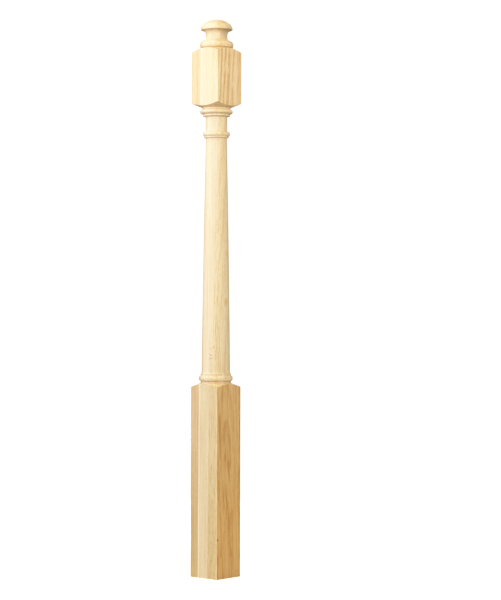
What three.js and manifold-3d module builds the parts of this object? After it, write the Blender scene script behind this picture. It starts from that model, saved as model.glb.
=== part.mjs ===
// A wooden newel post: the main post at the end of a staircase handrail.
//
// It is turned in one piece from a square blank. Two lengths of the blank are left square, a long
// one at the foot and a short one that takes the handrail. Between them runs a tapered shaft with
// turned rings at both ends, and a low mushroom-shaped knob ends the post at the top.
// The lathe tool also shapes the ends of the square lengths, so each flat side ends in an arc.
//
// Frame: millimetres, +Z up, origin at the middle of the underside, flat sides facing +-X and +-Y.

import * as THREE from "three";
import { mergeVertices } from "three/addons/utils/BufferGeometryUtils.js";
import Module from "manifold-3d";

// The square blank.
const BLANK_SIDE = 77.6; // flat to flat
const ARRIS_RADIUS = 1.2; // sanded rounding of the four long edges
const ARRIS_STEPS = 2; // facets across each rounded edge
const BLANK_CORNER = Math.SQRT2 * BLANK_SIDE / 2 - (Math.SQRT2 - 1) * ARRIS_RADIUS;
const CLEAR_OF_BLANK = BLANK_CORNER + 6; // the lathe tool's path where the wood stays square

// Lengths of the two square parts, measured along their corners.
const FOOT_LENGTH = 415.4;
const RAIL_BLOCK_LENGTH = 112.1;

// Sloping shoulders, where the turning runs into the square: how far each rises from the
// horizontal, in degrees, and the radius that each starts or ends at beside the turning.
const FOOT_SHOULDER_PITCH = 22.6;
const FOOT_SHOULDER_RADIUS = 33.2;
const UNDER_SHOULDER_PITCH = 21.9;
const UNDER_SHOULDER_RADIUS = 30.8;
const TOP_SHOULDER_PITCH = 23.7;
const TOP_SHOULDER_RADIUS = 33.7;

// Ring at the foot of the shaft, from the shoulder up.
const BASE_GROOVE_HEIGHT = 3.5;
const BASE_BEAD_RADIUS = 37.2;
const BASE_BEAD_HEIGHT = 12.8;
const BASE_FILLET_RADIUS = 33.2;
const BASE_FILLET_HEIGHT = 4.0;
const BASE_HOLLOW_HEIGHT = 4.3;

// Tapered shaft. Its sides swell outwards a little between the ends.
const SHAFT_FOOT_RADIUS = 31.3;
const SHAFT_TOP_RADIUS = 23.2;
const SHAFT_LENGTH = 508.1;
const SHAFT_SWELL = 0.6;

// Collar at the top of the shaft.
const COLLAR_HOLLOW_HEIGHT = 2.9;
const COLLAR_FILLET_RADIUS = 26.9;
const COLLAR_FILLET_HEIGHT = 3.2;
const COLLAR_BEAD_RADIUS = 29.7;
const COLLAR_BEAD_HEIGHT = 9.6;
const COLLAR_FLARE_HEIGHT = 4.4;

// Neck between the collar and the ring under the rail block.
const NECK_RADIUS = 23.8;
const NECK_LENGTH = 25.6;

// Ring under the rail block.
const UNDER_HOLLOW_HEIGHT = 4.4;
const UNDER_LIP_RADIUS = 28.8;
const UNDER_FILLET_RADIUS = 29.6;
const UNDER_FILLET_HEIGHT = 4.3;
const UNDER_BEAD_RADIUS = 36.0;
const UNDER_BEAD_HEIGHT = 10.2;
const UNDER_GROOVE_HEIGHT = 3.8;

// Knob on top of the rail block: a lopsided bead, a hollow neck and a domed cap.
const KNOB_BEAD_RADIUS = 36.9;
const KNOB_BEAD_LOWER = 6.8; // height of the bead below its widest line
const KNOB_BEAD_UPPER = 9.5; // and above it
const KNOB_BEAD_TOP_RADIUS = 27.5;
const KNOB_FLARE_RADIUS = 26.8;
const KNOB_FLARE_RISE = 1.8;
const KNOB_FLARE_HEIGHT = 8.1;
const KNOB_NECK_RADIUS = 23.5;
const KNOB_NECK_LENGTH = 1.7;
const CAP_HOLLOW_HEIGHT = 11.4;
const CAP_EDGE_RADIUS = 33.2;
const CAP_EDGE_HEIGHT = 1.6;
const CAP_RADIUS = 35.0;
const CAP_RISE = 22.3;

// Facets.
const FACETS_ROUND = 60; // around the post, a multiple of four so that all sides match
const FACETS_SMALL = 3; // in a quarter round of a small moulding
const FACETS_HOLLOW = 5; // in the hollow under the cap
const FACETS_DOME = 9; // from the cap's edge to its top
const FACETS_SHAFT = 6; // along the shaft

// Writes down a half outline of the turning, from the axis at the foot to the axis at the top, as
// a turner reads a drawing: each call goes on from where the last one ended.
class TurnedOutline {
  constructor() {
    this.points = [new THREE.Vector2(0, 0)];
  }

  get radius() {
    return this.points.at(-1).x;
  }

  get height() {
    return this.points.at(-1).y;
  }

  // A straight cut to a radius, after rising by some height.
  line(radius, rise) {
    this.points.push(new THREE.Vector2(radius, this.height + rise));
    return this;
  }

  // A quarter of an ellipse that starts upright and ends level, or the other way round.
  quarter(radius, rise, startsUpright, steps) {
    const [r0, z0] = [this.radius, this.height];
    for (let i = 1; i <= steps; i++) {
      const angle = (i / steps) * (Math.PI / 2);
      const upright = 1 - Math.cos(angle);
      const level = Math.sin(angle);
      const across = startsUpright ? upright : level;
      const along = startsUpright ? level : upright;
      this.points.push(new THREE.Vector2(r0 + (radius - r0) * across, z0 + rise * along));
    }
    return this;
  }

  // A half-round bead: out to its widest line and back in to a radius.
  bead(widest, radius, lower, upper) {
    return this.quarter(widest, lower, false, FACETS_SMALL).quarter(radius, upper, true, FACETS_SMALL);
  }

  // A tapered shaft whose sides swell by a parabola between the ends.
  shaft(radius, rise, swell, steps) {
    const [r0, z0] = [this.radius, this.height];
    for (let i = 1; i <= steps; i++) {
      const t = i / steps;
      const straight = r0 + (radius - r0) * t;
      this.points.push(new THREE.Vector2(straight + 4 * swell * t * (1 - t), z0 + rise * t));
    }
    return this;
  }
}

// Height that a shoulder climbs between two radii.
function shoulderRise(inner, outer, pitch) {
  return (outer - inner) * Math.tan(THREE.MathUtils.degToRad(pitch));
}

// The shoulders run on past the blank's corners, so that the flat sides cut them cleanly.
function turnedOutline() {
  const outline = new TurnedOutline();

  const footOverrun = shoulderRise(BLANK_CORNER, CLEAR_OF_BLANK, FOOT_SHOULDER_PITCH);
  outline
    .line(CLEAR_OF_BLANK, 0)
    .line(CLEAR_OF_BLANK, FOOT_LENGTH - footOverrun)
    .line(
      FOOT_SHOULDER_RADIUS,
      shoulderRise(FOOT_SHOULDER_RADIUS, CLEAR_OF_BLANK, FOOT_SHOULDER_PITCH),
    );

  outline
    .line(FOOT_SHOULDER_RADIUS, BASE_GROOVE_HEIGHT)
    .bead(BASE_BEAD_RADIUS, BASE_FILLET_RADIUS, BASE_BEAD_HEIGHT / 2, BASE_BEAD_HEIGHT / 2)
    .line(BASE_FILLET_RADIUS, BASE_FILLET_HEIGHT)
    .quarter(SHAFT_FOOT_RADIUS, BASE_HOLLOW_HEIGHT, false, FACETS_SMALL);

  outline.shaft(SHAFT_TOP_RADIUS, SHAFT_LENGTH, SHAFT_SWELL, FACETS_SHAFT);

  outline
    .quarter(COLLAR_FILLET_RADIUS, COLLAR_HOLLOW_HEIGHT, true, FACETS_SMALL)
    .line(COLLAR_FILLET_RADIUS, COLLAR_FILLET_HEIGHT)
    .bead(COLLAR_BEAD_RADIUS, COLLAR_FILLET_RADIUS, COLLAR_BEAD_HEIGHT / 2, COLLAR_BEAD_HEIGHT / 2)
    .quarter(NECK_RADIUS, COLLAR_FLARE_HEIGHT, false, FACETS_SMALL)
    .line(NECK_RADIUS, NECK_LENGTH);

  outline
    .quarter(UNDER_LIP_RADIUS, UNDER_HOLLOW_HEIGHT, true, FACETS_SMALL)
    .line(UNDER_FILLET_RADIUS, 0)
    .line(UNDER_FILLET_RADIUS, UNDER_FILLET_HEIGHT)
    .bead(UNDER_BEAD_RADIUS, UNDER_SHOULDER_RADIUS, UNDER_BEAD_HEIGHT / 2, UNDER_BEAD_HEIGHT / 2)
    .line(UNDER_SHOULDER_RADIUS, UNDER_GROOVE_HEIGHT);

  const underOverrun = shoulderRise(BLANK_CORNER, CLEAR_OF_BLANK, UNDER_SHOULDER_PITCH);
  const topOverrun = shoulderRise(BLANK_CORNER, CLEAR_OF_BLANK, TOP_SHOULDER_PITCH);
  outline
    .line(
      CLEAR_OF_BLANK,
      shoulderRise(UNDER_SHOULDER_RADIUS, CLEAR_OF_BLANK, UNDER_SHOULDER_PITCH),
    )
    .line(CLEAR_OF_BLANK, RAIL_BLOCK_LENGTH - underOverrun - topOverrun)
    .line(TOP_SHOULDER_RADIUS, shoulderRise(TOP_SHOULDER_RADIUS, CLEAR_OF_BLANK, TOP_SHOULDER_PITCH));

  outline
    .bead(KNOB_BEAD_RADIUS, KNOB_BEAD_TOP_RADIUS, KNOB_BEAD_LOWER, KNOB_BEAD_UPPER)
    .line(KNOB_FLARE_RADIUS, KNOB_FLARE_RISE)
    .quarter(KNOB_NECK_RADIUS, KNOB_FLARE_HEIGHT, false, FACETS_SMALL)
    .line(KNOB_NECK_RADIUS, KNOB_NECK_LENGTH)
    .quarter(CAP_EDGE_RADIUS, CAP_HOLLOW_HEIGHT, true, FACETS_HOLLOW)
    .quarter(CAP_RADIUS, CAP_EDGE_HEIGHT, false, FACETS_SMALL)
    .quarter(0, CAP_RISE, true, FACETS_DOME);

  return outline;
}

const wasm = await Module();
wasm.setup();

// A closed three.js geometry as a solid that can be cut: shared corners are merged, and the
// triangles that shrink to a line at the axis are left out.
function solidFrom(geometry) {
  const bare = new THREE.BufferGeometry()
    .setIndex(geometry.getIndex())
    .setAttribute("position", geometry.getAttribute("position"));
  const merged = mergeVertices(bare, 1e-4);
  const corners = merged.getIndex().array;
  const triVerts = [];
  for (let i = 0; i < corners.length; i += 3) {
    const [a, b, c] = corners.slice(i, i + 3);
    if (a !== b && b !== c && c !== a) {
      triVerts.push(a, b, c);
    }
  }
  return new wasm.Manifold(
    new wasm.Mesh({
      numProp: 3,
      vertProperties: Float32Array.from(merged.getAttribute("position").array),
      triVerts: Uint32Array.from(triVerts),
    }),
  );
}

function geometryFrom(solid) {
  const mesh = solid.getMesh();
  const geometry = new THREE.BufferGeometry()
    .setAttribute("position", new THREE.BufferAttribute(mesh.vertProperties, 3))
    .setIndex(new THREE.BufferAttribute(mesh.triVerts, 1))
    .toNonIndexed();
  geometry.computeVertexNormals();
  return geometry;
}

// The turned form, as if the blank were wide enough to be round all the way.
function turnedSolid(outline) {
  const lathe = new THREE.LatheGeometry(
    outline.points.map((p) => new THREE.Vector2(Math.max(p.x, 0), p.y)),
    FACETS_ROUND,
  );
  lathe.rotateX(Math.PI / 2); // three.js turns about Y, and the post stands along Z
  return solidFrom(lathe);
}

// The square blank with its long edges rounded over.
function blankSolid(length) {
  const half = BLANK_SIDE / 2;
  const inner = half - ARRIS_RADIUS;
  const section = new THREE.Shape();
  section.absarc(inner, inner, ARRIS_RADIUS, 0, Math.PI / 2);
  section.absarc(-inner, inner, ARRIS_RADIUS, Math.PI / 2, Math.PI);
  section.absarc(-inner, -inner, ARRIS_RADIUS, Math.PI, 1.5 * Math.PI);
  section.absarc(inner, -inner, ARRIS_RADIUS, 1.5 * Math.PI, 2 * Math.PI);
  section.closePath();
  return solidFrom(
    new THREE.ExtrudeGeometry(section, {
      depth: length,
      bevelEnabled: false,
      curveSegments: ARRIS_STEPS,
    }),
  );
}

const wood = new THREE.MeshStandardMaterial({ color: 0xe9cf9f, roughness: 0.62, metalness: 0 });

const outline = turnedOutline();
const post = new THREE.Mesh(
  geometryFrom(turnedSolid(outline).intersect(blankSolid(outline.height))),
  wood,
);
post.name = "newel_post";

const newel = new THREE.Group();
newel.add(post);

export default newel;
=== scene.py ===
# %% [markdown]
# A turned newel post
#
# A newel is the main post of a staircase: the handrail ends in its square upper block, and its long
# square foot is fixed to the floor. This one is a single glued blank of pale wood. Two lengths are
# left square, and a lathe has cut the tapered shaft, the rings and the low mushroom knob from the
# rest. The lesson rebuilds it as one closed surface and then gives that surface solid wood, so that
# every cut shows the grain that a saw or a turning tool would really find there.

# %% Load the frame
import math

import bpy
import numpy as np
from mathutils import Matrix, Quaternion, Vector


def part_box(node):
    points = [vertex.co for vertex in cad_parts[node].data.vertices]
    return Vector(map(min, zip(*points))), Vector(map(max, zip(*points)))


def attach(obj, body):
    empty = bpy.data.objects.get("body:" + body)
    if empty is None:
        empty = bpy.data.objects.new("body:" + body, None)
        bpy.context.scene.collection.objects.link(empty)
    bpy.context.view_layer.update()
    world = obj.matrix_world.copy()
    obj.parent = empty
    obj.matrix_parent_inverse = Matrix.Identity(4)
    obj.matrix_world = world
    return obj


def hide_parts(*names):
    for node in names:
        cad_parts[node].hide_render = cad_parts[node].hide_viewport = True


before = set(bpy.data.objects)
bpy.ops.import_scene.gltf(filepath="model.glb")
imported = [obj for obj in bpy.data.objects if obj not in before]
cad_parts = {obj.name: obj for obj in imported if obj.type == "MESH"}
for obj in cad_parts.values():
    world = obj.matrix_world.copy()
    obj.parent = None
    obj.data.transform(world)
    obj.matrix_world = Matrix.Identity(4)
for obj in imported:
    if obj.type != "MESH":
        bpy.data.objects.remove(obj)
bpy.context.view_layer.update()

# %% [markdown]
# Driving sizes
#
# The frame holds the real size of the post, so the width of the blank and the full height are read
# from it. Everything else is a turner's measurement, kept in millimetres and turned into metres by
# the factor MM.

# %% Sizes taken from the frame
MM = 0.001
post_low, post_high = (np.array(corner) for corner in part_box("newel_post"))
BLANK_SIDE = post_high[0] - post_low[0]
POST_HEIGHT = post_high[2] - post_low[2]
print(f"blank {BLANK_SIDE / MM:.1f} mm square, post {POST_HEIGHT / MM:.1f} mm high")

# %% [markdown]
# The camera
#
# The photograph was taken from about four metres away with a long lens, level with the middle of the
# post and a little to the right of the front corner. The camera here stands at the same place. It is
# aimed slightly past the post, which is why the post stands left of the middle of the picture, and it
# is rolled by a fraction of a degree because the post leans that much in the photograph.

# %% Set up the camera
CAMERA_AZIMUTH = math.radians(42.5)  # 0 looks along +Y, 90 along -X
CAMERA_DISTANCE = 4.1
CAMERA_HEIGHT = 0.590
CAMERA_ROLL = math.radians(0.153)
FOCAL_LENGTH_MM = 112.36  # on a frame 36 mm high
AIM_ASIDE = 0.0755  # how far right of the post's axis the camera looks
AIM_ABOVE = 0.0153  # and how far above its own height

away = Vector((math.sin(CAMERA_AZIMUTH), -math.cos(CAMERA_AZIMUTH), 0))
aside = Vector((math.cos(CAMERA_AZIMUTH), math.sin(CAMERA_AZIMUTH), 0))
camera = bpy.data.objects.new("camera", bpy.data.cameras.new("camera"))
bpy.context.scene.collection.objects.link(camera)
camera.data.lens = FOCAL_LENGTH_MM
camera.location = away * CAMERA_DISTANCE + Vector((0, 0, CAMERA_HEIGHT))
aim = aside * AIM_ASIDE + Vector((0, 0, CAMERA_HEIGHT + AIM_ABOVE))
camera.rotation_mode = "QUATERNION"
level = (aim - camera.location).to_track_quat("-Z", "Y")
camera.rotation_quaternion = level @ Quaternion((0, 0, 1), CAMERA_ROLL)
bpy.context.scene.camera = camera
print(f"camera {CAMERA_DISTANCE} m away with a {FOCAL_LENGTH_MM} mm lens")

# %% [markdown]
# The square blank
#
# Seen from above, the blank is a square with its four corners sanded round. One walk around that
# square gives a list of directions, and for each direction the distance from the axis to the edge.
# The turned parts use the same directions, so that the round and the square parts join without a seam.

# %% Walk around the blank
ARRIS_RADIUS = 1.2 * MM  # sanded rounding of the long corners
CORNER_RADIUS = math.sqrt(2) * BLANK_SIDE / 2 - (math.sqrt(2) - 1) * ARRIS_RADIUS
SUPPORT = 0.35 * MM  # a narrow strip beside each rounded edge keeps the flat beside it flat
SIDE_STEPS = 28
ARRIS_STEPS = 6


def walk_around_blank():
    """Points of a rounded square, as directions and distances from the axis.
    One side is x = half the width, with y stepping from corner to corner. Each corner is a quarter
    circle about a centre that sits one rounding radius in from both sides. Four turned copies close
    the walk."""
    half = BLANK_SIDE / 2
    inner = half - ARRIS_RADIUS
    across = np.linspace(SUPPORT - inner, inner - SUPPORT, SIDE_STEPS + 1)
    across = np.concatenate([[-inner], across, [inner]])
    turn = np.linspace(0, np.pi / 2, ARRIS_STEPS + 1)[1:-1]
    side = half + 1j * across
    corner = inner + 1j * inner + ARRIS_RADIUS * np.exp(1j * turn)
    quarter = np.concatenate([side, corner])
    walk = np.concatenate([quarter * 1j**k for k in range(4)])
    return np.angle(walk), np.abs(walk)


direction, blank_edge = walk_around_blank()
print(f"{len(direction)} directions around the post")

# %% [markdown]
# Writing down the turning
#
# A turner reads a half outline from the foot up: out to the bead, in to the fillet, along the shaft.
# The outline here is written in the same way, one stroke after another, each going on from where the
# last one ended. A stroke holds a row of points for every direction, because along the square parts
# the distance from the axis changes with the direction. Sandpaper takes the sharpness off every
# corner, so each place where two strokes meet at an angle gets a short curve.

# %% Strokes of the outline
EASED = 0.45 * MM  # length of corner that the sandpaper takes off
EASED_POINTS = 3
MOST_EASED = 0.45  # share of the step beside a corner that may go with it
SHARP_ANGLE = math.radians(12)
PLAIN_STEP = 22 * MM  # longest step along a straight stroke


class Turning:
    """The half outline of the post for every direction, as strokes of (radius, height) points."""

    def __init__(self, directions):
        self.directions = directions
        self.strokes = []
        self.radius = np.zeros(directions)
        self.height = np.zeros(directions)

    def stroke(self, radius, height):
        """Adds points given as one row, or as one row for each direction, of radii and heights."""
        shape = (self.directions, np.shape(radius)[-1])
        points = np.stack([np.broadcast_to(radius, shape), np.broadcast_to(height, shape)], axis=-1)
        self.strokes.append(points)
        self.radius = points[:, -1, 0]
        self.height = points[:, -1, 1]
        return self

    def line_to(self, radius, height):
        """A straight cut: start + share * (end - start), with shares close to 0 and 1 at the ends."""
        start = np.stack([self.radius, self.height], axis=-1)
        end = np.stack(np.broadcast_arrays(radius, height, self.radius)[:2], axis=-1)
        length = np.linalg.norm(end - start, axis=-1).max()
        edge = min(SUPPORT / length, 0.25)
        steps = int(length / PLAIN_STEP) + 2
        share = np.concatenate([[0], np.linspace(edge, 1 - edge, steps), [1]])[:, None]
        points = start[:, None] + share * (end - start)[:, None]
        return self.stroke(points[..., 0], points[..., 1])

    def line(self, radius, rise=0.0):
        """A straight cut to a radius that climbs by some height."""
        return self.line_to(radius, self.height + rise)

    def quarter(self, radius, rise, starts_upright, steps=9):
        """A quarter of an ellipse. It goes out by 1 - cos(a) and up by sin(a) when it starts upright,
        and out by sin(a) and up by 1 - cos(a) when it starts level, with a from 0 to 90 degrees."""
        angle = np.linspace(0, np.pi / 2, steps + 1)
        shares = (1 - np.cos(angle), np.sin(angle))
        across, along = shares if starts_upright else shares[::-1]
        start_radius, start_height = self.radius[:, None], self.height[:, None]
        return self.stroke(
            start_radius + (radius - start_radius) * across,
            start_height + rise * along,
        )

    def bead(self, widest, radius, lower, upper, steps=9):
        """Half a round: a quarter out to the widest line and a quarter back in."""
        return self.quarter(widest, lower, False, steps).quarter(radius, upper, True, steps)

    def shaft(self, radius, rise, swell, steps=44):
        """A taper with a parabola on it: radius + swell * 4t(1 - t), with t from 0 to 1."""
        t = np.linspace(0, 1, steps + 1)
        start_radius, start_height = self.radius[:, None], self.height[:, None]
        taper = start_radius + (radius - start_radius) * t
        return self.stroke(taper + 4 * swell * t * (1 - t), start_height + rise * t)

    def joined(self):
        """All strokes as one outline, with a curve where two meet at an angle.
        The curve is (1 - t)^2 A + 2t(1 - t) B + t^2 C: B is the sharp corner, and A and C lie a short
        way before and after it."""
        strokes = [stroke.copy() for stroke in self.strokes]
        rows = []
        t = np.linspace(0, 1, EASED_POINTS + 2)[None, 1:-1, None]
        for here, after in zip(strokes, strokes[1:]):
            corner = here[:, -1]
            back, ahead = here[:, -2] - corner, after[:, 1] - corner
            back_length = np.linalg.norm(back, axis=-1, keepdims=True)
            ahead_length = np.linalg.norm(ahead, axis=-1, keepdims=True)
            cosine = -np.sum(back * ahead, axis=-1, keepdims=True) / (back_length * ahead_length)
            rows.append(here[:, :-1])
            if cosine.min() > math.cos(SHARP_ANGLE):
                continue
            before = corner + back * np.minimum(MOST_EASED, EASED / back_length)
            beyond = corner + ahead * np.minimum(MOST_EASED, EASED / ahead_length)
            rows.append(before[:, None])
            rows.append(
                (1 - t) ** 2 * before[:, None]
                + 2 * t * (1 - t) * corner[:, None]
                + t**2 * beyond[:, None]
            )
            after[:, 0] = beyond
        rows.append(strokes[-1])
        return np.concatenate(rows, axis=1)


print(f"sandpaper takes {EASED / MM:.2f} mm off each corner")

# %% [markdown]
# The shoulders
#
# Where the square ends, the lathe tool cuts a shallow cone. The cone meets the flat sides nearer to
# the axis than it meets the corners, so each flat side ends in an arc. Nothing has to be cut for
# that: the cone's height at the edge of the blank, worked out for every direction, is the arc.

# %% Shoulder helpers
FOOT_LENGTH = 415.4 * MM  # square part at the foot, measured along its corners
RAIL_BLOCK_LENGTH = 112.1 * MM  # square part that takes the handrail
FOOT_SHOULDER_SLOPE = math.tan(math.radians(22.6))
UNDER_SHOULDER_SLOPE = math.tan(math.radians(21.9))
TOP_SHOULDER_SLOPE = math.tan(math.radians(23.7))


def shoulder_in(turning, radius, slope):
    """From the edge of the blank up to a radius. The cone starts at the corners' height and
    gains slope for every unit inwards, so a flat side starts higher than a corner."""
    corner_height = turning.height
    arc = corner_height + (CORNER_RADIUS - blank_edge) * slope
    turning.height = arc
    turning.strokes[-1] = fit_stroke_end(turning.strokes[-1], arc)
    return turning.line_to(radius, corner_height + (CORNER_RADIUS - radius) * slope)


def shoulder_out(turning, slope):
    """From a radius out to the edge of the blank, rising by slope for every unit outwards."""
    return turning.line_to(blank_edge, turning.height + (blank_edge - turning.radius) * slope)


def fit_stroke_end(stroke, end_height):
    """Stretches an upright stroke so that it ends at another height in each direction."""
    heights = stroke[..., 1]
    start, end = heights[:, :1], heights[:, -1:]
    share = (heights - start) / (end - start)
    fitted = stroke.copy()
    fitted[..., 1] = start + share * (np.asarray(end_height)[:, None] - start)
    return fitted


print(f"foot {FOOT_LENGTH / MM:.1f} mm and rail block {RAIL_BLOCK_LENGTH / MM:.1f} mm along their corners")

# %% [markdown]
# The outline, from the foot up
#
# First come the foot and the ring on it, then the shaft, then the collar, the neck, the ring under the
# rail block, the rail block and the knob. The shaft takes up whatever height the other parts leave.

# %% Sizes of the turned parts
FOOT_RING_RADIUS, FOOT_BEAD_RADIUS = 33.2 * MM, 37.2 * MM
SHAFT_FOOT_RADIUS, SHAFT_TOP_RADIUS, SHAFT_SWELL = 31.3 * MM, 23.2 * MM, 0.6 * MM
COLLAR_RADIUS, COLLAR_BEAD_RADIUS = 26.9 * MM, 29.7 * MM
NECK_RADIUS, NECK_LENGTH = 23.8 * MM, 25.6 * MM
FILLET_RADIUS, UNDER_BEAD_RADIUS, GROOVE_RADIUS = 29.6 * MM, 36.0 * MM, 30.8 * MM
KNOB_SEAT_RADIUS, KNOB_BEAD_RADIUS, KNOB_NECK_RADIUS = 33.7 * MM, 36.9 * MM, 23.5 * MM
CAP_RADIUS, DOME_HEIGHT = 35.0 * MM, 22.3 * MM
print(f"shaft radius {SHAFT_FOOT_RADIUS / MM:.1f} mm at its foot, {SHAFT_TOP_RADIUS / MM:.1f} mm at its top")


# %% Mouldings
def collar_and_neck(turning):
    """Collar at the top of the shaft, and the plain neck above it."""
    turning.quarter(COLLAR_RADIUS, 2.9 * MM, True, 6)
    turning.line(COLLAR_RADIUS, 3.2 * MM)
    turning.bead(COLLAR_BEAD_RADIUS, COLLAR_RADIUS, 4.8 * MM, 4.8 * MM, 8)
    turning.quarter(NECK_RADIUS, 4.4 * MM, False, 7)
    turning.line(NECK_RADIUS, NECK_LENGTH)


def ring_under_rail_block(turning):
    """Hollow, fillet, bead and groove."""
    turning.quarter(28.8 * MM, 4.4 * MM, True, 8)
    turning.line(FILLET_RADIUS)
    turning.line(FILLET_RADIUS, 4.3 * MM)
    turning.bead(UNDER_BEAD_RADIUS, GROOVE_RADIUS, 5.1 * MM, 5.1 * MM)
    turning.line(GROOVE_RADIUS, 3.8 * MM)


def rail_block(turning):
    """The short square part, with a shoulder under it and one above it."""
    shoulder_out(turning, UNDER_SHOULDER_SLOPE)
    top_of_corners = turning.height[np.argmax(blank_edge)] + RAIL_BLOCK_LENGTH
    turning.line_to(blank_edge, np.full(len(direction), top_of_corners))
    shoulder_in(turning, KNOB_SEAT_RADIUS, TOP_SHOULDER_SLOPE)


def knob(turning):
    """Lopsided bead, flared neck, hollow, thin edge and domed cap."""
    turning.bead(KNOB_BEAD_RADIUS, 27.5 * MM, 6.8 * MM, 9.5 * MM, 12)
    turning.line(26.8 * MM, 1.8 * MM)
    turning.quarter(KNOB_NECK_RADIUS, 8.1 * MM, False, 8)
    turning.line(KNOB_NECK_RADIUS, 1.7 * MM)
    turning.quarter(33.2 * MM, 11.4 * MM, True, 14)
    turning.quarter(CAP_RADIUS, 1.6 * MM, False, 5)
    turning.quarter(0.0, DOME_HEIGHT, True, 26)


def foot_and_ring(turning):
    """The long square part, its shoulder, and the ring that the shaft grows from."""
    turning.line_to(blank_edge, 0.0)
    turning.line_to(blank_edge, FOOT_LENGTH)
    shoulder_in(turning, FOOT_RING_RADIUS, FOOT_SHOULDER_SLOPE)
    turning.line(FOOT_RING_RADIUS, 3.5 * MM)
    turning.bead(FOOT_BEAD_RADIUS, FOOT_RING_RADIUS, 6.4 * MM, 6.4 * MM)
    turning.line(FOOT_RING_RADIUS, 4.0 * MM)
    turning.quarter(SHAFT_FOOT_RADIUS, 4.3 * MM, False, 6)


def above_shaft(turning):
    """Everything from the collar to the top of the knob."""
    collar_and_neck(turning)
    ring_under_rail_block(turning)
    rail_block(turning)
    knob(turning)


trial = Turning(len(direction))
above_shaft(trial)
HEIGHT_ABOVE_SHAFT = trial.height[0]
print(f"{HEIGHT_ABOVE_SHAFT / MM:.1f} mm of the post stand above the shaft")


# %% Put the outline together
def post_outline():
    """The whole outline. The shaft's length is the post's height less everything else."""
    turning = Turning(len(direction))
    foot_and_ring(turning)
    shaft_length = POST_HEIGHT - turning.height[0] - HEIGHT_ABOVE_SHAFT
    print(f"shaft {shaft_length / MM:.1f} mm long")
    turning.shaft(SHAFT_TOP_RADIUS, shaft_length, SHAFT_SWELL)
    above_shaft(turning)
    return turning.joined()


outline = post_outline()
print(f"outline of {outline.shape[1]} points for each of {outline.shape[0]} directions")

# %% [markdown]
# From outline to surface
#
# Each outline point is carried to x = r cos(a), y = r sin(a), z. Neighbouring directions and
# neighbouring points make a grid of four-sided faces. The first and the last point of every outline
# lie on the axis, so they become one point each, and a fan of triangles closes the post there.

# %% Build the post
def closed_grid(name, radius, height, angle):
    """A mesh from outlines standing around an axis: (r cos a, r sin a, z), closed at both poles."""
    around, along = radius.shape
    rings = np.stack(
        [radius * np.cos(angle)[:, None], radius * np.sin(angle)[:, None], height], axis=-1
    )
    inner = rings[:, 1:-1]
    poles = np.array([[0, 0, height[0, 0]], [0, 0, height[0, -1]]])
    points = np.concatenate([inner.reshape(-1, 3), poles])

    rows = along - 2
    here = np.arange(around)[:, None] * rows
    beside = ((np.arange(around) + 1) % around)[:, None] * rows
    step = np.arange(rows - 1)[None, :]
    quads = np.stack([here + step, beside + step, beside + step + 1, here + step + 1], axis=-1)
    bottom, top = len(points) - 2, len(points) - 1
    here, beside = here[:, 0], beside[:, 0]
    bottom_fan = np.stack([beside, here, np.full(around, bottom)], axis=-1)
    top_fan = np.stack([here + rows - 1, beside + rows - 1, np.full(around, top)], axis=-1)
    faces = quads.reshape(-1, 4).tolist() + bottom_fan.tolist() + top_fan.tolist()

    mesh = bpy.data.meshes.new(name)
    mesh.from_pydata(points.tolist(), [], faces)
    mesh.validate()
    mesh.shade_smooth()
    piece = bpy.data.objects.new(name, mesh)
    bpy.context.scene.collection.objects.link(piece)
    print(f"{name}: {len(points)} points, {len(faces)} faces")
    return piece


post = closed_grid("turned_post", outline[..., 0], outline[..., 1], direction)
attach(post, "root")
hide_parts("newel_post")

# %% [markdown]
# Node recipes
#
# The wood is a solid texture: every colour is worked out from a point inside the blank, not painted
# on the surface. That takes a good deal of arithmetic in nodes, so a small recipe class writes each
# node and its wires in one line.


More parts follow.
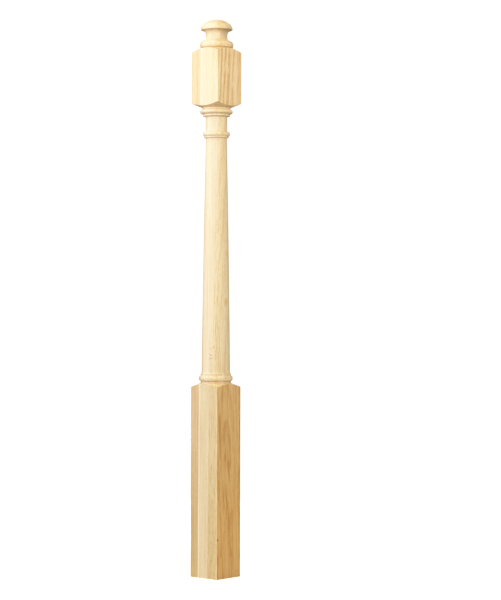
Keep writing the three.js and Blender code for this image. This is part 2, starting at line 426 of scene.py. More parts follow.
# %% Recipe helper
class Recipe:
    """Writes nodes into a tree. Each call makes one node, connects it and returns its output."""

    def __init__(self, tree):
        self.tree = tree

    def node(self, kind, **settings):
        made = self.tree.nodes.new(kind)
        for name, value in settings.items():
            setattr(made, name, value)
        return made

    def feed(self, socket, value):
        if isinstance(value, bpy.types.NodeSocket):
            self.tree.links.new(value, socket)
        else:
            socket.default_value = value

    def math(self, operation, *values, clamp=False):
        made = self.node("ShaderNodeMath", operation=operation, use_clamp=clamp)
        for socket, value in zip(made.inputs, values):
            self.feed(socket, value)
        return made.outputs[0]

    def add(self, *values):
        """The sum of any number of values."""
        total = values[0]
        for value in values[1:]:
            total = self.math("ADD", total, value)
        return total

    def vector(self, operation, *values):
        made = self.node("ShaderNodeVectorMath", operation=operation)
        for socket, value in zip(made.inputs, values):
            self.feed(socket, value)
        return made.outputs["Value" if operation in ("LENGTH", "DOT_PRODUCT") else "Vector"]

    def split(self, vector):
        made = self.node("ShaderNodeSeparateXYZ")
        self.feed(made.inputs[0], vector)
        return made.outputs[0], made.outputs[1], made.outputs[2]

    def join(self, x, y, z):
        made = self.node("ShaderNodeCombineXYZ")
        for socket, value in zip(made.inputs, (x, y, z)):
            self.feed(socket, value)
        return made.outputs[0]

    def distance(self, x, y):
        """The square root of x squared plus y squared."""
        return self.vector("LENGTH", self.join(x, y, 0.0))

    def noise(self, vector, detail=2.0, rough=0.5):
        made = self.node("ShaderNodeTexNoise", noise_dimensions="3D")
        self.feed(made.inputs["Vector"], vector)
        made.inputs["Scale"].default_value = 1.0
        made.inputs["Detail"].default_value = detail
        made.inputs["Roughness"].default_value = rough
        return made.outputs["Fac"]

    def ramp(self, value, low, high, to_low=0.0, to_high=1.0, smooth=True):
        """Goes from one value to another while the input goes from low to high, and stays there."""
        made = self.node("ShaderNodeMapRange")
        made.interpolation_type = "SMOOTHSTEP" if smooth else "LINEAR"
        for socket, setting in zip(made.inputs, (value, low, high, to_low, to_high)):
            self.feed(socket, setting)
        return made.outputs[0]

    def blend(self, share, first, second, how="MIX"):
        made = self.node("ShaderNodeMix", data_type="RGBA", blend_type=how)
        colours = [socket for socket in made.inputs if socket.type == "RGBA"]
        self.feed(made.inputs[0], share)
        self.feed(colours[0], first)
        self.feed(colours[1], second)
        return next(socket for socket in made.outputs if socket.type == "RGBA")


# %% [markdown]
# Three boards
#
# A thick newel is seldom one piece of timber. Three boards, planed flat and glued face to face, make
# a blank that stays straight, and where they meet the grain changes along a straight line. The glued
# faces lean a little, so on the long foot the joints drift sideways. The left board is tan, the
# middle one is cream, and the right one has the boldest figure. All numbers that follow are
# millimetres inside the blank, with z up from the floor.

# %% Where the boards meet
LEFT_JOINT, LEFT_JOINT_DRIFT = -16.5, 0.0043  # x at the floor, and its change for each mm of height
RIGHT_JOINT, RIGHT_JOINT_DRIFT = 12.2, 0.0072
JOINT_BLUR = 0.12


class Timber:
    """The point inside the blank, and which board it lies in."""

    def __init__(self, recipe):
        self.recipe = recipe
        coordinates = recipe.node("ShaderNodeTexCoord")
        place = recipe.vector("MULTIPLY", coordinates.outputs["Object"], (1000, 1000, 1000))
        self.x, self.y, self.z = recipe.split(place)
        self.normal = coordinates.outputs["Normal"]
        self.past_left = self.beyond(LEFT_JOINT, LEFT_JOINT_DRIFT)
        self.past_right = self.beyond(RIGHT_JOINT, RIGHT_JOINT_DRIFT)
        middle = self.share(self.past_left)
        self.right = self.share(self.past_right)
        self.middle_and_right = middle
        left = recipe.math("SUBTRACT", 1.0, middle)
        self.shares = recipe.join(left, recipe.math("SUBTRACT", middle, self.right), self.right)

    def beyond(self, joint, drift):
        """How far x lies past a joint: x - (joint + drift * z)."""
        plane = self.recipe.math("MULTIPLY_ADD", self.z, drift, joint)
        return self.recipe.math("SUBTRACT", self.x, plane)

    def share(self, past):
        return self.recipe.ramp(past, -JOINT_BLUR, JOINT_BLUR)

    def pick(self, left, middle, right):
        """A number that each board has of its own."""
        return self.recipe.vector("DOT_PRODUCT", self.shares, (left, middle, right))

    def pick_colour(self, left, middle, right):
        lower = self.recipe.blend(self.middle_and_right, left, middle)
        return self.recipe.blend(self.right, lower, right)


print(f"joints at x = {LEFT_JOINT} mm and {RIGHT_JOINT} mm on the floor")

# %% [markdown]
# The run of the grain
#
# Fibres follow the tree, not the saw. In the right board they lean one way in the foot and the other
# way above it, because the tree was slightly bowed, and everywhere they flow round a knot as water
# flows round a pile. So the point is first carried along its fibre to a common level, and every
# figure is drawn with the coordinates that it has there.

# %% Fibres
BOW_TURN = 430.0  # height at which the right board's grain changes its lean
BOW_SPREAD = 90.0
BOW_LEAN = (0.081, 0.020)  # half the change of lean, and the mean lean
BOW_START = -25.1
BOW_EASE = (1000.0, 0.5)  # height above which the lean is smaller, and by what share
KNOTS = (  # direction of the branch, place across, height, radius, how dark and how warm it shows
    ("X", -35.2, 85.6, 1.6, 1.0, 0.5),
    ("X", 3.8, 705.0, 2.6, 0.0, 0.7),
    ("X", 0.3, 601.0, 2.6, 0.05, 1.0),
    ("Y", 26.0, 168.0, 1.9, 0.05, 0.4),
    ("Y", 24.0, 80.0, 1.8, 0.05, 0.4),
)
KNOT_REACH = 2.4  # knot radii over which a knot pushes the fibres aside
KNOT_DARK, KNOT_WARM = (0.7, 1.7), (0.3, 2.6)  # knot radii between which its colours fade out
LEAN_X, LEAN_Y = (0.004, 0.0055, -0.0056), (-0.012, 0.010, 0.0)  # of the fibres, for each board


def bowed_grain(timber):
    """Sideways shift of the right board's fibres with height: a hyperbola,
    start + lean * z + half change * square root of ((z - turn)^2 + spread^2), in which z grows
    only half as fast above the height where the lean eases."""
    recipe = timber.recipe
    high, share = BOW_EASE
    past = recipe.math("MAXIMUM", recipe.math("SUBTRACT", timber.z, high), 0.0)
    eased = recipe.math("MULTIPLY_ADD", past, -share, timber.z)
    above = recipe.math("SUBTRACT", eased, BOW_TURN)
    curve = recipe.math("MULTIPLY_ADD", recipe.distance(above, BOW_SPREAD), BOW_LEAN[0], BOW_START)
    return recipe.math("MULTIPLY_ADD", eased, BOW_LEAN[1], curve)


def flow_round_knots(timber):
    """Shifts of x and y that bend the fibres round each knot, and how dark and warm the knots are.
    A fibre at distance q beside a knot of radius R belongs to q * (1 - (reach * R)^2 / (rho^2 + R^2)),
    much as in a stream, where rho is the distance from the knot, counted half along the grain.
    The dark middle is round, and the warm wood round it is twice as long as it is wide."""
    recipe = timber.recipe
    shift = {"X": [], "Y": []}
    darkness, warmth = [], []
    for grows, across, height, radius, dark, warm in KNOTS:
        beside = recipe.math("SUBTRACT", timber.y if grows == "X" else timber.x, across)
        above = recipe.math("MULTIPLY_ADD", timber.z, 0.5, -0.5 * height)
        away_from = recipe.distance(beside, above)
        square = recipe.math("MULTIPLY_ADD", away_from, away_from, radius**2)
        bend = recipe.math("DIVIDE", -((KNOT_REACH * radius) ** 2), square)
        shift[grows].append(recipe.math("MULTIPLY", beside, bend))
        middle = recipe.distance(beside, recipe.math("MULTIPLY", above, 2.0))
        darkness.append(recipe.ramp(middle, KNOT_DARK[0] * radius, KNOT_DARK[1] * radius, dark, 0.0))
        warmth.append(recipe.ramp(away_from, KNOT_WARM[0] * radius, KNOT_WARM[1] * radius, warm, 0.0))
    in_right_board = [
        recipe.math("MULTIPLY", recipe.add(*values), timber.right)
        for values in (shift["Y"], shift["X"], darkness, warmth)
    ]
    return in_right_board


def point_along_fibre(timber):
    """The point's place across the grain, (u, v), with z left as it is, and the knots' colours."""
    recipe = timber.recipe
    shift_x, shift_y, darkness, warmth = flow_round_knots(timber)
    lean_x, lean_y = timber.pick(*LEAN_X), timber.pick(*LEAN_Y)
    bow = recipe.math("MULTIPLY", bowed_grain(timber), timber.right)
    u = recipe.math("SUBTRACT", recipe.add(timber.x, shift_x), recipe.math("MULTIPLY", timber.z, lean_x))
    drift = recipe.math("MULTIPLY_ADD", timber.z, lean_y, bow)
    v = recipe.math("SUBTRACT", recipe.add(timber.y, shift_y), drift)
    return u, v, darkness, warmth


print(f"{len(KNOTS)} knots in the right board")

# %% [markdown]
# Year rings
#
# A tree lays one ring of wood round its heart each year, pale in spring and darker in summer. A saw
# that cuts the rings nearly square leaves straight lines, and one that cuts them at a shallow angle
# leaves tall arches and tongues. Both come from one sum: the distance from the heart, divided by the
# ring width. The heart lies outside the post, at a different place for each board.

# %% Rings
RING_WIDTH = (6.0, 3.2, 9.1)  # left, middle and right board
HEART_X = (-120.0, -95.0, -8.6)
HEART_Y = (-10.0, -20.0, 0.0)
RING_START = 6.2
BOLD_YEAR = 8.4  # rings near this number are the boldest
HOLLOW = (290.0, 30.0, 111.0, -14.0)  # height, half width, half length and depth
SUMMER_COMES, SUMMER_ENDS = (0.42, 0.84), (0.90, 1.0)  # shares of a year in which the wood darkens, pales
YEAR_MEAN, YEAR_SWING = 0.75, 0.25  # strength of the years


def ring_hollow(timber, v):
    """A dip in the rings of the right board, which the saw has opened into a long leaf on the foot:
    depth * exp(-(v / width)^2 - ((z - height) / length)^2)."""
    recipe = timber.recipe
    height, width, length, depth = HOLLOW
    across = recipe.math("DIVIDE", v, width)
    along = recipe.math("MULTIPLY_ADD", timber.z, 1 / length, -height / length)
    distance = recipe.distance(across, along)
    square = recipe.math("MULTIPLY", distance, distance)
    fall = recipe.math("EXPONENT", recipe.math("MULTIPLY", square, -1.0))
    return recipe.math("MULTIPLY", recipe.math("MULTIPLY", fall, depth), timber.right)


def year_rings(timber, u, v, wander):
    """How dark the summer wood is: it deepens through the ring, then stops short.
    ring = (distance from the heart + hollow + wander + start) / width, its fraction the season.
    The strength of each year is mean + swing * cos(year - bold year)."""
    recipe = timber.recipe
    across = recipe.math("SUBTRACT", u, timber.pick(*HEART_X))
    along = recipe.math("SUBTRACT", v, timber.pick(*HEART_Y))
    distance = recipe.add(recipe.distance(across, along), ring_hollow(timber, v), wander, RING_START)
    ring = recipe.math("DIVIDE", distance, timber.pick(*RING_WIDTH))
    season = recipe.math("FRACT", ring)
    year = recipe.math("FLOOR", ring)
    wave = recipe.math("COSINE", recipe.math("SUBTRACT", year, BOLD_YEAR))
    strength = recipe.math("MULTIPLY_ADD", wave, YEAR_SWING, YEAR_MEAN)
    deepening = recipe.ramp(season, *SUMMER_COMES)
    ending = recipe.ramp(season, *SUMMER_ENDS, 1.0, 0.0)
    return recipe.math("MULTIPLY", recipe.math("MULTIPLY", deepening, ending), strength)


print(f"year rings {RING_WIDTH[0]}, {RING_WIDTH[1]} and {RING_WIDTH[2]} mm wide")

# %% [markdown]
# Streaks and fibres
#
# Between the rings the wood is never even. Long soft bands of colour run with the grain, then finer
# streaks, then the fibres and the short open vessels that a turned surface cuts into dashes. Each could
# be drawn by hand, but noise that is stretched along the fibres gives them all, so a kind of mark needs
# only its width and its length.

# %% Streaks
FRESH_PLACE = (57.0, 19.0, 0.0)  # how far the noise is moved, for each board
DASH_EDGE = 0.1


def streaks(timber, u, v, width, length, detail=2.0):
    """Noise at (u / width, v / width, z / length), moved to another place for each board."""
    recipe = timber.recipe
    fresh = timber.pick(*FRESH_PLACE)
    point = recipe.join(recipe.add(u, fresh), v, timber.z)
    return recipe.noise(recipe.vector("MULTIPLY", point, (1 / width, 1 / width, 1 / length)), detail)


def signed(recipe, noise, amount):
    """Noise from 0 to 1 turned into plus or minus an amount: (2 * noise - 1) * amount."""
    return recipe.math("MULTIPLY", recipe.math("MULTIPLY_ADD", noise, 2.0, -1.0), amount)


def dashes(timber, u, v, width, length, rarity):
    """Short dark marks where a stretched noise is above a threshold."""
    return timber.recipe.ramp(streaks(timber, u, v, width, length, 1.0), rarity, rarity + DASH_EDGE)


# %% Kinds of streaks
SLOW, WAVY, RAGGED = (26.0, 420.0), (7.0, 70.0), (2.6, 30.0, 3.0)  # width, length, and detail
BANDS, LINES, FIBRES = (9.0, 380.0), (1.7, 170.0), (0.5, 16.0)
VESSELS = (0.9, 9.0, 0.58)  # width, length and rarity
RING_WANDER = (3.0, 2.2, 1.6)  # how far slow, wavy and ragged streaks push a year ring


class Grain:
    """All that the tree has drawn at a point: year rings, streaks, fibres, vessels and knots."""

    def __init__(self, timber):
        recipe = timber.recipe
        u, v, self.dark_knots, self.warm_knots = point_along_fibre(timber)
        slow, wavy, self.ragged = (streaks(timber, u, v, *kind) for kind in (SLOW, WAVY, RAGGED))
        noises = zip((slow, wavy, self.ragged), RING_WANDER)
        wander = recipe.add(*(signed(recipe, noise, push) for noise, push in noises))
        self.rings = year_rings(timber, u, v, wander)
        self.bands = streaks(timber, u, v, *BANDS)
        self.lines = streaks(timber, u, v, *LINES)
        self.fibres = streaks(timber, u, v, *FIBRES)
        self.vessels = dashes(timber, u, v, *VESSELS)


print(f"finest fibres {FIBRES[0]} mm wide, longest streaks {SLOW[1]:.0f} mm long")

# %% [markdown]
# Colours
#
# Each board has a colour where the lathe has cut into it, and another on the planed sides of the
# square, which have been in the light for longer. The planed sides and the broad faces are darker and
# warmer towards the foot, which is painted shade for the lamps' light falling off downwards. The two
# broad faces of the outer boards are the deepest. That skin is under a millimetre thick, and
# sandpaper has taken it off the long corners, where a paler line shows, partly as a painted highlight
# along the corners. All of it is read from how far a point lies from the planed sides, so no face has
# to be picked out by hand.

# %% Tints
TURNED = ((0.70, 0.50, 0.28, 1), (0.79, 0.612, 0.405, 1), (0.785, 0.593, 0.328, 1))  # for each board
PLANED = (
    ((0.535, 0.36, 0.143, 1), (0.705, 0.487, 0.28, 1)),  # left board, near the foot and near the top
    ((0.68, 0.515, 0.30, 1), (0.72, 0.57, 0.35, 1)),  # middle
    ((0.595, 0.428, 0.196, 1), (0.735, 0.557, 0.338, 1)),  # right
)
# Painted shade: the planed tints are darker and warmer near the foot, where the lamps' light falls off.
PLANED_SHADE_FALLOFF = (60.0, 640.0)  # heights between which the planed sides change their tint
BROAD_FACE = ((0.650, 0.366, 0.106, 1), (0.800, 0.572, 0.303, 1))
# Painted shade: the broad faces darken towards the foot in the same way, between these heights.
BROAD_SHADE_FALLOFF = (150.0, 1090.0)
HALF_SIDE = BLANK_SIDE / MM / 2
SKIN = (HALF_SIDE - 0.9, HALF_SIDE - 0.3)  # the skin's colour comes in between these distances
CORNER = (2 * HALF_SIDE - 2.1, 2 * HALF_SIDE - 1.0)  # and goes again between these sums |x| + |y|


class Cuts:
    """Which cut a point lies on: the broad faces, any planed side, or a sanded corner.
    The skin is where the larger of |x| and |y| is nearly half the side. On a corner, |x| + |y| is
    larger than it can be on a flat."""

    def __init__(self, timber):
        recipe = timber.recipe
        across, aside_y = recipe.math("ABSOLUTE", timber.x), recipe.math("ABSOLUTE", timber.y)
        kept = recipe.ramp(recipe.math("ADD", across, aside_y), *CORNER, 1.0, 0.0)
        self.broad = recipe.math("MULTIPLY", recipe.ramp(across, *SKIN), kept)
        outermost = recipe.math("MAXIMUM", across, aside_y)
        self.planed = recipe.math("MULTIPLY", recipe.ramp(outermost, *SKIN), kept)
        # Sanded corners: their paler wood is partly real and partly a painted highlight along the corners.
        self.sanded = recipe.math("SUBTRACT", 1.0, kept)


def wood_tint(timber, cuts):
    """Turned, planed and broad-face tints, one over the other."""
    recipe = timber.recipe
    # Painted shade: the tints grow darker and warmer towards the foot.
    planed_falloff = recipe.ramp(timber.z, *PLANED_SHADE_FALLOFF, smooth=False)
    broad_falloff = recipe.ramp(timber.z, *BROAD_SHADE_FALLOFF, smooth=False)
    near_foot = timber.pick_colour(*(low for low, high in PLANED))
    near_top = timber.pick_colour(*(high for low, high in PLANED))
    planed_tint = recipe.blend(planed_falloff, near_foot, near_top)
    tint = recipe.blend(cuts.planed, timber.pick_colour(*TURNED), planed_tint)
    return recipe.blend(cuts.broad, tint, recipe.blend(broad_falloff, *BROAD_FACE))


print(f"skin from {SKIN[0]:.1f} mm to the planed side at {HALF_SIDE:.1f} mm")

# %% [markdown]
# Resin and patches
#
# Some marks are single and have a place of their own: small drops of resin on the front of the shaft,
# long darker streaks of it on the broad face of the right board, and a grey painted shade under the
# cap, on the right side of the neck. Each is an oval, given by its middle and its size, so it is a line in a
# table.

# %% Resin and patches
FLECKS = (  # x, z and radius of the resin flecks on the front of the shaft
    (10.7, 485.5, 1.6),
    (12.7, 485.0, 1.3),
    (10.8, 478.2, 1.8),
    (13.0, 478.6, 1.4),
    (8.8, 476.4, 1.1),
    (16.8, 502.0, 1.8),
    (10.7, 499.8, 1.4),
    (12.8, 496.6, 1.1),
    (8.2, 487.0, 1.1),
    (9.6, 511.0, 1.1),
)
PITCH = (  # y and z of the middle, lean, half width, half length and depth of colour
    (-5.7, 169.0, -0.157, 3.4, 34.0, 0.75),
    (1.8, 86.0, -0.060, 3.0, 82.0, 0.60),
    (-11.6, 262.0, 0.0, 3.6, 13.0, 0.80),
    (1.5, 222.0, -0.08, 3.0, 20.0, 0.60),
    (-32.0, 335.0, -0.038, 4.0, 90.0, 0.50),
    (-23.0, 58.0, 0.05, 4.6, 20.0, 0.50),
    (-9.5, 187.0, -0.10, 7.0, 24.0, 0.50),
    (36.0, 210.0, 0.0, 7.0, 330.0, 0.75),
    (34.0, 1088.0, 0.0, 16.0, 100.0, 0.32),
)
# The grey patch is painted shade, laid where the cap's overhang shades the right side of the neck.
CAP_SHADE_PATCH = (2.0, 1189.0, 17.0, 17.0)  # y and z of the middle, half width and half height
FLECK_EDGE, PITCH_EDGE, CAP_SHADE_EDGE = (0.5, 1.3), (0.2, 1.0), (0.35, 1.0)  # shares of the size: full, gone
FLECKS_FRONT, CAP_SHADE_SIDE = (-20.0, -10.0), (8.0, 16.0)  # y where the flecks end, x where the grey starts


def painted_cap_shade(timber):
    """Painted shade under the cap's overhang, on the right of the neck: 1 in the middle of an ellipse, and 0
    from its edge on.
    """
    recipe = timber.recipe
    y0, z0, half_width, half_height = CAP_SHADE_PATCH
    across = recipe.math("MULTIPLY_ADD", timber.y, 1 / half_width, -y0 / half_width)
    above = recipe.math("MULTIPLY_ADD", timber.z, 1 / half_height, -z0 / half_height)
    patch = recipe.ramp(recipe.distance(across, above), *CAP_SHADE_EDGE, 1.0, 0.0)
    return recipe.math("MULTIPLY", patch, recipe.ramp(timber.x, *CAP_SHADE_SIDE))


def resin_flecks(timber):
    """Small round drops: 1 near the middle of each, and 0 a little way beyond its radius."""
    recipe = timber.recipe
    drops = []
    full, gone = FLECK_EDGE
    for x0, z0, radius in FLECKS:
        across = recipe.math("SUBTRACT", timber.x, x0)
        above = recipe.math("SUBTRACT", timber.z, z0)
        distance = recipe.distance(across, above)
        drops.append(recipe.ramp(distance, full * radius, gone * radius, 1.0, 0.0))
    in_front = recipe.ramp(timber.y, *FLECKS_FRONT, 1.0, 0.0)
    return recipe.math("MULTIPLY", recipe.add(*drops), in_front)


def pitch_streaks(timber):
    """Long drops of darker resin on the right board. Each is a leaning ellipse:
    ((y - y0 - lean * (z - z0)) / half width)^2 + ((z - z0) / half length)^2 < 1."""
    recipe = timber.recipe
    total = 0.0
    for y0, z0, lean, half_width, half_length, depth in PITCH:
        tilt = recipe.math("MULTIPLY_ADD", timber.z, -lean / half_width, (lean * z0 - y0) / half_width)
        across = recipe.math("MULTIPLY_ADD", timber.y, 1 / half_width, tilt)
        along = recipe.math("MULTIPLY_ADD", timber.z, 1 / half_length, -z0 / half_length)
        streak = recipe.ramp(recipe.distance(across, along), *PITCH_EDGE, depth, 0.0)
        total = recipe.math("MAXIMUM", total, streak)
    return recipe.math("MULTIPLY", total, timber.right)


print(f"{len(FLECKS)} flecks and {len(PITCH)} streaks of resin")

# %% [markdown]
# How dark the figure is
#
# One number says how dark the wood is at a point. Year rings count most, but on the broad faces the
# saw has cut them at their boldest, and they grow calmer towards the far edge. Streaks and fibres
# are added to it, and end grain, which drinks in more dust and oil, is darker than any side. Keeping
# all of that in one number means that a mark darkens and warms the wood in one step.

# %% Tone
PLAIN_TONE = 0.12
FIGURE = (0.35, 0.16, 0.24)  # how much the year rings show, for each board
FOOT_TO_RAIL = (400.0, 1000.0)  # heights between which the broad face changes
BOLDNESS, FAR_BOLDNESS = (0.75, 1.05), (0.55, 0.30)  # on the broad face at the foot and at the rail
FAR_HALF = (0.0, 26.0)  # y between which the figure grows calmer
BREAKS = (0.30, 0.62, 0.35, 1.15)  # ragged noise breaks the rings up, from 0.35 to 1.15 of their depth
RAGGED_SHARE = (0.10, 0.75)  # strength of the ragged streaks on plain and on bold wood
BAND_STRENGTH = (0.55, 0.20, 0.45)  # for each board
LINE_STRENGTH = (0.75, 0.75, 1.15)  # for each board
FIBRE_STRENGTH = 0.22
LINES_FADE = (560.0, 1000.0, 1.25, 0.45)  # heights, and what the lines are multiplied by
RAIL_LINES, RAIL_LINES_START = 0.6, (980.0, 1020.0)  # extra strength of the lines on the rail block
# Painted shade: the knob's tone is darker and warmer, most in the right board, on the side away from the
# lamps.
KNOB_SHADE_HEIGHTS = (1100.0, 1150.0)  # heights between which the wood gets the warmer tone of the knob
KNOB_SHADE_TONE = (0.05, 0.08, 0.22)  # added tone of the knob, for each board
END_GRAIN, END_GRAIN_TURN = 0.45, (0.30, 1.0)  # added tone, and how upright the surface points


def figure_boldness(timber, cuts):
    """How bold the figure of the broad face is: higher up it is bolder, and beyond the middle calmer."""
    recipe = timber.recipe
    upwards = recipe.ramp(timber.z, *FOOT_TO_RAIL, *BOLDNESS, smooth=False)
    far_edge = recipe.ramp(timber.z, *FOOT_TO_RAIL, *FAR_BOLDNESS, smooth=False)
    fading = recipe.ramp(timber.y, *FAR_HALF, 1.0, far_edge)
    return recipe.math("MULTIPLY", recipe.math("MULTIPLY", upwards, fading), cuts.broad)


def wood_tone(timber, grain, cuts):
    """The tone is a sum: plain + rings * figure * breaks + resin * breaks + each kind of streak times
    its strength + painted shade on the knob + end grain."""
    recipe = timber.recipe
    bold = figure_boldness(timber, cuts)
    figure = recipe.add(bold, timber.pick(*FIGURE))
    breaks = recipe.ramp(grain.ragged, *BREAKS)
    pitch = recipe.math("MULTIPLY", pitch_streaks(timber), cuts.broad)
    rail_lines = recipe.ramp(timber.z, *RAIL_LINES_START, 0.0, bold)
    line_depth = recipe.add(
        recipe.ramp(timber.z, *LINES_FADE), recipe.math("MULTIPLY", rail_lines, RAIL_LINES)
    )
    ragged_share = recipe.ramp(bold, 0.0, 1.0, *RAGGED_SHARE)
    tone = recipe.add(
        PLAIN_TONE,
        recipe.math("MULTIPLY", recipe.math("MULTIPLY", grain.rings, figure), breaks),
        recipe.math("MULTIPLY", pitch, breaks),
        recipe.math("MULTIPLY", signed(recipe, grain.ragged, 1.0), ragged_share),
        recipe.math("MULTIPLY", signed(recipe, grain.bands, 1.0), timber.pick(*BAND_STRENGTH)),
        recipe.math("MULTIPLY", signed(recipe, grain.lines, line_depth), timber.pick(*LINE_STRENGTH)),
        signed(recipe, grain.fibres, FIBRE_STRENGTH),
    )
    # Painted shade on the knob, strongest in the right board.
    knob_shade = recipe.ramp(timber.z, *KNOB_SHADE_HEIGHTS)
    tone = recipe.add(tone, recipe.math("MULTIPLY", knob_shade, timber.pick(*KNOB_SHADE_TONE)))
    upright = recipe.math("ABSOLUTE", recipe.split(timber.normal)[2])
    end_grain = recipe.ramp(upright, *END_GRAIN_TURN)
    return recipe.math("MULTIPLY_ADD", end_grain, END_GRAIN, tone, clamp=True)


print(f"tone {PLAIN_TONE} on plain wood, {PLAIN_TONE + END_GRAIN:.2f} on end grain")

# %% [markdown]
# The finished wood
#
# The tone picks a shade between spring and summer wood, and the shade multiplies the board's tint, so
# every board keeps its own hue. Single marks are laid over that. The wood is bare and fine-sanded, so
# it is a dull surface with a very low relief, which comes from the same fibres and vessels as the
# colour and lies exactly under it.

# %% Put the wood together
SPRING, SUMMER = (1.07, 1.10, 1.14, 1), (0.80, 0.66, 0.44, 1)  # multiply the board's tint
# Partly painted highlight: the sanded corners are paler, which also stands for the light line along the long
# corners.
SANDED_HIGHLIGHT = (1.04, 1.00, 0.88, 1)  # multiplies the wood on the sanded corners
PALE_STRIP = (0.95, 0.90, 0.70, 1)  # sapwood beside the left joint
PALE_STRIP_FADE = (1.5, 5.5, 0.35, 0.0)  # how far past the joint, and its share at both ends
KNOT_BROWN = (0.17, 0.07, 0.02, 1)
WARM_BROWN = (0.90, 0.77, 0.50, 1)  # multiplies the wood round a knot
# The next tint is painted shade for the wood under the cap.
CAP_SHADE_TINT = (0.80, 0.83, 0.87, 1)  # multiplies the wood of the grey patch
PORE_BROWN = (0.76, 0.71, 0.60, 1)  # multiplies the wood in open vessels and resin drops
PORES = (0.25, 0.35, 0.60)  # how much the vessels show, for each board
ROUGHNESS, ROUGHNESS_CHANGE = 0.50, 0.10
RELIEF = (0.5, 0.3, 0.4, -0.5)  # shares of the fibres, lines, rings and vessels in the relief
RELIEF_STRENGTH, RELIEF_HEIGHT = 0.25, 0.2 * MM


def wood_colour(timber, grain, cuts):
    """Tint times shade, and then each single mark over it."""
    recipe = timber.recipe
    shade = recipe.blend(wood_tone(timber, grain, cuts), SPRING, SUMMER)
    colour = recipe.blend(1.0, wood_tint(timber, cuts), shade, "MULTIPLY")
    # Paler sanded corners, partly a painted highlight along them.
    colour = recipe.blend(cuts.sanded, colour, SANDED_HIGHLIGHT, "MULTIPLY")
    beside_joint = recipe.ramp(timber.past_left, *PALE_STRIP_FADE)
    strip = recipe.math("MULTIPLY", beside_joint, timber.middle_and_right)
    colour = recipe.blend(recipe.math("MULTIPLY", strip, cuts.planed), colour, PALE_STRIP)
    colour = recipe.blend(grain.warm_knots, colour, WARM_BROWN, "MULTIPLY")
    # Painted shade under the cap's overhang.
    colour = recipe.blend(painted_cap_shade(timber), colour, CAP_SHADE_TINT, "MULTIPLY")
    pores = recipe.math("MULTIPLY", grain.vessels, timber.pick(*PORES))
    colour = recipe.blend(recipe.add(pores, resin_flecks(timber)), colour, PORE_BROWN, "MULTIPLY")
    return recipe.blend(grain.dark_knots, colour, KNOT_BROWN)


def wood_roughness(recipe, grain):
    """A steady roughness, a little higher or lower from fibre to fibre, and higher in a vessel."""
    vessels = recipe.math("MULTIPLY", grain.vessels, ROUGHNESS_CHANGE)
    return recipe.add(ROUGHNESS, signed(recipe, grain.fibres, ROUGHNESS_CHANGE), vessels)


def wood_relief(recipe, grain):
    """Height of the relief: each kind of mark times its share, vessels downwards."""
    marks = (grain.fibres, grain.lines, grain.rings, grain.vessels)
    height = recipe.add(*(recipe.math("MULTIPLY", mark, share) for mark, share in zip(marks, RELIEF)))
    bump = recipe.node("ShaderNodeBump")
    bump.inputs["Strength"].default_value = RELIEF_STRENGTH
    bump.inputs["Distance"].default_value = RELIEF_HEIGHT
    recipe.feed(bump.inputs["Height"], height)
    return bump.outputs["Normal"]


def solid_wood(name):
    """A material whose colour, roughness and relief all come from the same point of the blank."""
    material = bpy.data.materials.new(name)
    material.use_nodes = True
    recipe = Recipe(material.node_tree)
    shader = material.node_tree.nodes["Principled BSDF"]
    timber = Timber(recipe)
    grain = Grain(timber)
    cuts = Cuts(timber)
    recipe.feed(shader.inputs["Base Color"], wood_colour(timber, grain, cuts))
    recipe.feed(shader.inputs["Roughness"], wood_roughness(recipe, grain))
    recipe.feed(shader.inputs["Normal"], wood_relief(recipe, grain))
    print(f"{name}: {len(material.node_tree.nodes)} nodes")
    return material


post.data.materials.append(solid_wood("turned_wood"))

# %% [markdown]
# Light and floor
#
# Soft boxes stand round the post: a strong one far to the left and one a little to the right of the
# camera, both a little higher than the knob, two smaller ones above them, and one behind for the
# back. A pale room fills the shadows. The floor is paper that glows a little where the camera sees
# it, so that it stays as white as the backdrop.

# %% Studio
SKY_STRENGTH = 0.37
WHITE = 1.3  # the brightness that the highlight curve shows as plain white
FLOOR_RADIUS, FLOOR_SIDES = 1.6, 96
PAPER, PAPER_ROUGHNESS = (0.9, 0.9, 0.9, 1), 0.9
FLOOR_BOUNCE = (0.3, 0.9, 0.82, 0.36)  # distances from the post, and how pale the floor is there to light
FLOOR_GLOW = (0.25, 0.80, 0.6, WHITE)  # distances from the post, and how much the camera sees it glow
SOFT_BOXES = (  # name, turn, distance, height, width, tall, brightness and the height that it is aimed at
    ("left_box", -80, 1.6, 1.4, 1.0, 1.2, 6.0, 1.1),
    ("front_box", 15, 1.6, 1.4, 1.0, 1.2, 5.9, 1.05),
    ("upper_box", 50, 0.8, 2.4, 1.0, 1.0, 1.1, 1.15),
    ("top_box", -75, 0.8, 2.4, 1.0, 1.0, 3.6, 1.15),
    ("back_box", 180, 2.4, 2.0, 1.4, 1.2, 5.0, 0.9),
)


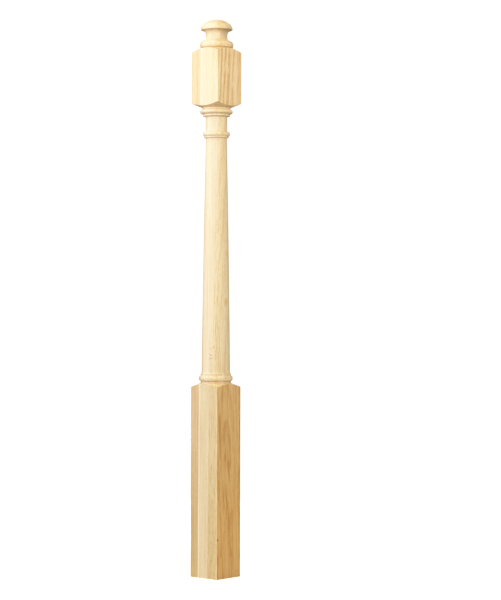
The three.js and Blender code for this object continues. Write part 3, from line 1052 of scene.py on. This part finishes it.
def pale_floor():
    """A round floor: points at radius * (cos a, sin a)."""
    turn = np.linspace(0, 2 * np.pi, FLOOR_SIDES + 1)[:-1]
    rim = np.stack([np.cos(turn), np.sin(turn), np.zeros(len(turn))], axis=-1) * FLOOR_RADIUS
    mesh = bpy.data.meshes.new("floor")
    mesh.from_pydata(rim.tolist(), [], [list(range(len(turn)))])
    floor = bpy.data.objects.new("floor", mesh)
    bpy.context.scene.collection.objects.link(floor)
    paper = bpy.data.materials.new("white_paper")
    paper.use_nodes = True
    sheet = paper.node_tree.nodes["Principled BSDF"]
    recipe = Recipe(paper.node_tree)
    seen = recipe.node("ShaderNodeLightPath").outputs["Is Camera Ray"]
    from_post = recipe.vector("LENGTH", recipe.node("ShaderNodeTexCoord").outputs["Object"])
    bounce = recipe.ramp(from_post, *FLOOR_BOUNCE)
    recipe.feed(sheet.inputs["Base Color"], recipe.blend(seen, bounce, PAPER))
    sheet.inputs["Roughness"].default_value = PAPER_ROUGHNESS
    sheet.inputs["Emission Color"].default_value = (1, 1, 1, 1)
    glow = recipe.ramp(from_post, *FLOOR_GLOW)
    recipe.feed(sheet.inputs["Emission Strength"], recipe.math("MULTIPLY", seen, glow))
    mesh.materials.append(paper)
    return floor


def soft_box(name, turn, distance, height, width, tall, brightness, aimed_at):
    """A rectangular lamp at a turn from the camera's direction, in degrees to the right.
    Its power is pi * area * brightness, which makes its face that many times as bright as white."""
    lamp = bpy.data.lights.new(name, "AREA")
    lamp.shape = "RECTANGLE"
    lamp.size = width
    lamp.size_y = tall
    lamp.energy = math.pi * width * tall * brightness
    box = bpy.data.objects.new(name, lamp)
    bpy.context.scene.collection.objects.link(box)
    turn = math.radians(turn)
    place = (away * math.cos(turn) + aside * math.sin(turn)) * distance + Vector((0, 0, height))
    box.location = place
    box.rotation_mode = "QUATERNION"
    box.rotation_quaternion = (Vector((0, 0, aimed_at)) - place).to_track_quat("-Z", "Y")
    return box


def pale_room():
    """Even light from all round, and plain white where the camera sees past the floor."""
    world = bpy.data.worlds.new("pale_room")
    world.use_nodes = True
    recipe = Recipe(world.node_tree)
    seen = recipe.node("ShaderNodeLightPath").outputs["Is Camera Ray"]
    background = world.node_tree.nodes["Background"]
    background.inputs["Color"].default_value = (1, 1, 1, 1)
    recipe.feed(background.inputs["Strength"], recipe.ramp(seen, 0.0, 1.0, SKY_STRENGTH, WHITE, False))
    bpy.context.scene.world = world


pale_floor()
pale_room()
for soft_box_row in SOFT_BOXES:
    soft_box(*soft_box_row)
print(f"{len(SOFT_BOXES)} soft boxes over a floor {2 * FLOOR_RADIUS} m across")

# %% [markdown]
# Highlights
#
# Where the light is strongest, a photograph does not simply stop at white: it bends towards it, and
# pale wood loses some of its colour there. The view settings hold a curve that does the same.

# %% Highlight curve
SHOULDER = 0.66  # brightness below which the picture shows what is there
CURVE_STEPS = 9


def bend_highlights():
    """shown = brightness up to the shoulder s. Beyond it, with t going from 0 at s to 1 at white w,
    shown = s + (1 - s)(1 - (1 - t)^p), where p = (w - s) / (1 - s) lets the curve leave s smoothly."""
    t = np.linspace(0, 1, CURVE_STEPS)
    power = (WHITE - SHOULDER) / (1 - SHOULDER)
    brightness = np.concatenate([[0], SHOULDER + t * (WHITE - SHOULDER)])
    shown = np.concatenate([[0], SHOULDER + (1 - SHOULDER) * (1 - (1 - t) ** power)])
    view = bpy.context.scene.view_settings
    view.view_transform = "Standard"
    view.use_curve_mapping = True
    view.curve_mapping.clip_max_x = WHITE
    points = view.curve_mapping.curves[3].points
    while len(points) < len(brightness):
        points.new(WHITE, 1.0)
    for point, place in zip(points, zip(brightness, shown)):
        point.location = place
    view.curve_mapping.update()
    print("shown brightness", np.round(shown, 3))


bend_highlights()
